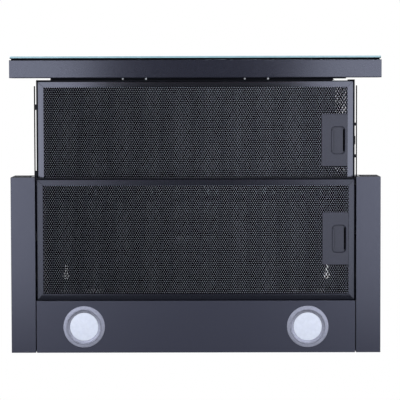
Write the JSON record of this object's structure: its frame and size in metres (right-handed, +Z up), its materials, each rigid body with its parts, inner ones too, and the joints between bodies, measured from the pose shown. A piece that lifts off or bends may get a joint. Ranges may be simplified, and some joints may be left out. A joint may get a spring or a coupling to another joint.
{
  "type": "pull out range hood",
  "caption": "Built-in 60 cm range hood with a pull-out filter drawer, glass-faced front bar, mesh grease filters, round LED lamps and a top duct collar.",
  "frame": {"origin": "centre of the duct spigot where it leaves the top panel", "axes": "+Z up along the spigot, -Y towards the cook, the way the drawer pulls out, +X to the cook's right"},
  "size_m": [0.602, 0.4819, 0.21],
  "materials": {
    "coated_steel": "satin black powder coat, fine grain",
    "filter_mesh": "satin black powder-coated expanded metal",
    "galvanised_steel": "galvanised sheet, matte",
    "zinc_screw": "zinc plated",
    "satin_chrome": "satin chromed bezel",
    "milky_lens": "opal polycarbonate, satin",
    "heat_sink": "die-cast, matte",
    "spring_steel": "bright",
    "nylon": "natural nylon",
    "latch_plastic": "fine moulded grain",
    "fascia_glass": "clear float glass, polished edge",
    "bonding_tape": "black foam tape",
    "black_plastic": "moulded, fine grain",
    "grey_plastic": "moulded",
    "button_plastic": "satin silver-grey",
    "board_laminate": "green laminate",
    "motor_steel": "zinc plated",
    "soft_rubber": "matte",
    "capacitor_case": "smooth"
  },
  "bodies": {
    "casing": {"chassis_wrap": "coated_steel", "front_panel": "coated_steel", "rear_panel": "coated_steel", "casing_screws": "zinc_screw", "left_flank": "coated_steel", "right_flank": "coated_steel", "light_panel": "coated_steel", "front_rail": "coated_steel", "slide_guides": "nylon", "left_lamp_bezel": "satin_chrome", "right_lamp_bezel": "satin_chrome", "left_lamp_lens": "milky_lens", "right_lamp_lens": "milky_lens", "left_lamp_body": "heat_sink", "right_lamp_body": "heat_sink", "lamp_clips": "spring_steel", "left_volute": "black_plastic", "right_volute": "black_plastic", "motor_can": "motor_steel", "motor_bracket": "galvanised_steel", "motor_bushes": "soft_rubber", "duct_collar": "black_plastic", "flap_pin": "spring_steel", "terminal_box": "grey_plastic", "terminal_box_lid": "grey_plastic", "cable_gland": "black_plastic", "capacitor": "capacitor_case", "led_driver": "grey_plastic", "drawer_switch": "black_plastic"},
    "drawer": {"drawer_frame": "coated_steel", "drawer_cover": "coated_steel", "left_runner": "coated_steel", "right_runner": "coated_steel", "runner_spacers": "black_plastic", "front_bar": "coated_steel", "glass_fascia": "fascia_glass", "fascia_tape": "bonding_tape", "control_box": "black_plastic", "control_board": "board_laminate", "bar_screws": "zinc_screw", "front_filter_frame": "coated_steel", "front_filter_face": "filter_mesh", "front_filter_core": "filter_mesh", "front_latch_plate": "latch_plastic", "front_latch_spring": "spring_steel"},
    "rear_filter": {"rear_filter_frame": "coated_steel", "rear_filter_face": "filter_mesh", "rear_filter_core": "filter_mesh", "rear_latch_plate": "latch_plastic", "rear_latch_spring": "spring_steel"},
    "front_latch": {"front_latch_slide": "latch_plastic"},
    "rear_latch": {"rear_latch_slide": "latch_plastic"},
    "fan": {"impeller": "black_plastic", "motor_shaft": "motor_steel"},
    "rear_flap": {"rear_flap": "grey_plastic"},
    "front_flap": {"front_flap": "grey_plastic"},
    "button_1": {"button_1": "button_plastic"},
    "button_2": {"button_2": "button_plastic"},
    "button_3": {"button_3": "button_plastic"},
    "button_4": {"button_4": "button_plastic"}
  },
  "joints": [
    {"name": "drawer_slide", "type": "slide", "parent": "casing", "child": "drawer", "axis": [0, -1, 0], "range_m": [-0.16, 0]},
    {"name": "rear_filter_swing", "type": "hinge", "parent": "casing", "child": "rear_filter", "pos_m": [-0.2545, 0, -0.1725], "axis": [0, 1, 0], "range_deg": [0, 75]},
    {"name": "rear_latch_pull", "type": "slide", "parent": "rear_filter", "child": "rear_latch", "axis": [-1, 0, 0], "range_m": [0, 0.006], "stiffness_N_per_m": 150, "springref_m": -0.004, "deforming": ["rear_latch_spring"]},
    {"name": "front_latch_pull", "type": "slide", "parent": "drawer", "child": "front_latch", "axis": [-1, 0, 0], "range_m": [0, 0.006], "stiffness_N_per_m": 150, "springref_m": -0.004, "deforming": ["front_latch_spring"]},
    {"name": "fan_spin", "type": "hinge", "parent": "casing", "child": "fan", "pos_m": [0, 0.027, -0.0555], "axis": [-1, 0, 0], "continuous": true},
    {"name": "rear_flap_swing", "type": "hinge", "parent": "casing", "child": "rear_flap", "pos_m": [0, 0, 0.008], "axis": [1, 0, 0], "range_deg": [0, 75]},
    {"name": "front_flap_swing", "type": "hinge", "parent": "casing", "child": "front_flap", "pos_m": [0, 0, 0.008], "axis": [-1, 0, 0], "range_deg": [0, 75]},
    {"name": "button_1_press", "type": "slide", "parent": "drawer", "child": "button_1", "axis": [0, 1, 0], "range_m": [0, 0.0025], "stiffness_N_per_m": 600, "springref_m": -0.001},
    {"name": "button_2_press", "type": "slide", "parent": "drawer", "child": "button_2", "axis": [0, 1, 0], "range_m": [0, 0.0025], "stiffness_N_per_m": 600, "springref_m": -0.001},
    {"name": "button_3_press", "type": "slide", "parent": "drawer", "child": "button_3", "axis": [0, 1, 0], "range_m": [0, 0.0025], "stiffness_N_per_m": 600, "springref_m": -0.001},
    {"name": "button_4_press", "type": "slide", "parent": "drawer", "child": "button_4", "axis": [0, 1, 0], "range_m": [0, 0.0025], "stiffness_N_per_m": 600, "springref_m": -0.001}
  ]
}
